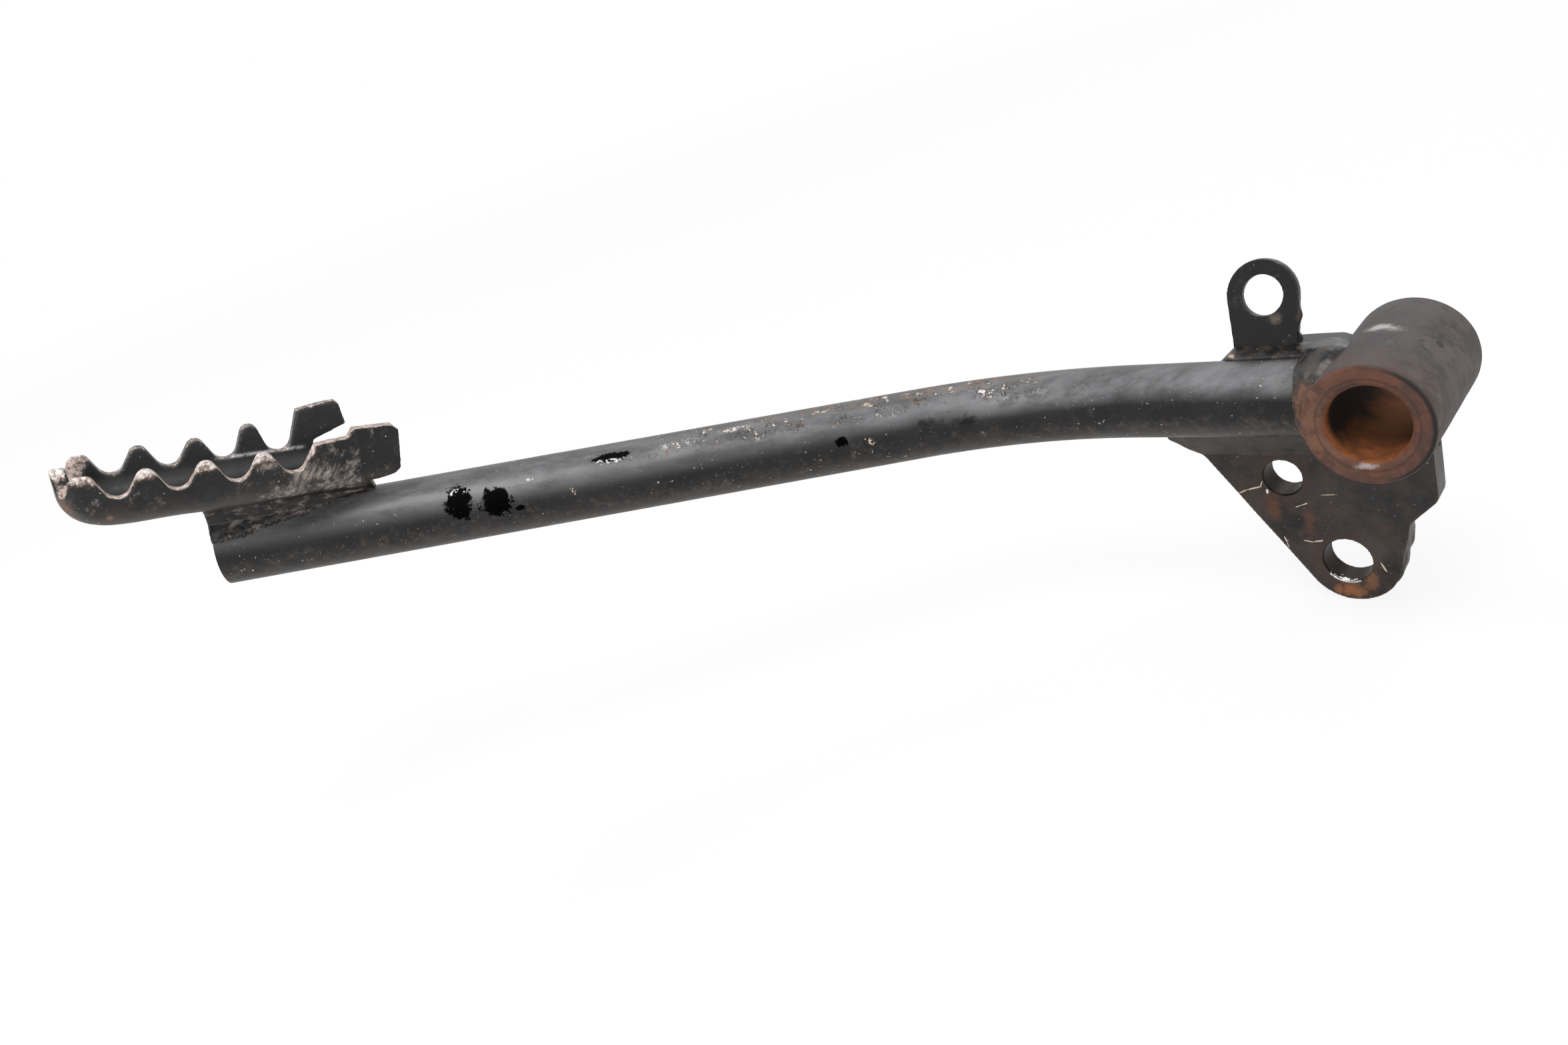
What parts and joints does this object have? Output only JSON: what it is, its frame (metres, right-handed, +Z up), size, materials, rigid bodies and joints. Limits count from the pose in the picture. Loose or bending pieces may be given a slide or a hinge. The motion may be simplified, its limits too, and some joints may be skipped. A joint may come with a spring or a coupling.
{
  "type": "brake pedal",
  "caption": "Welded foot brake pedal: a pivot boss, a bent tube arm, a lever plate with rod and spring holes, and a pressed tray tread with a toothed rim.",
  "frame": {"origin": "on the pivot bore's axis, at the middle of the boss's length", "axes": "+Y along the pivot bore's axis, away from the tread; -X along the arm where it leaves the boss; +Z up, the side the tread is open to"},
  "size_m": [0.2031, 0.1593, 0.1007],
  "materials": {
    "bare_boss": "worn paint, dusty and rusted",
    "black_paint": "satin, chipped and dusty",
    "worn_paint": "satin, worn to metal on the teeth",
    "weld_bead": "satin over weld ripples"
  },
  "bodies": {
    "root": {"pivot_boss": "bare_boss", "arm_tube": "black_paint", "lever_plate": "black_paint", "spring_tab": "black_paint", "tread_pad": "worn_paint", "weld_arm_boss": "weld_bead", "weld_arm_plate_lower": "weld_bead", "weld_arm_plate_upper": "weld_bead", "weld_plate_boss_front": "weld_bead", "weld_plate_boss_back": "weld_bead", "weld_tab": "weld_bead", "weld_tread": "weld_bead"}
  },
  "joints": []
}
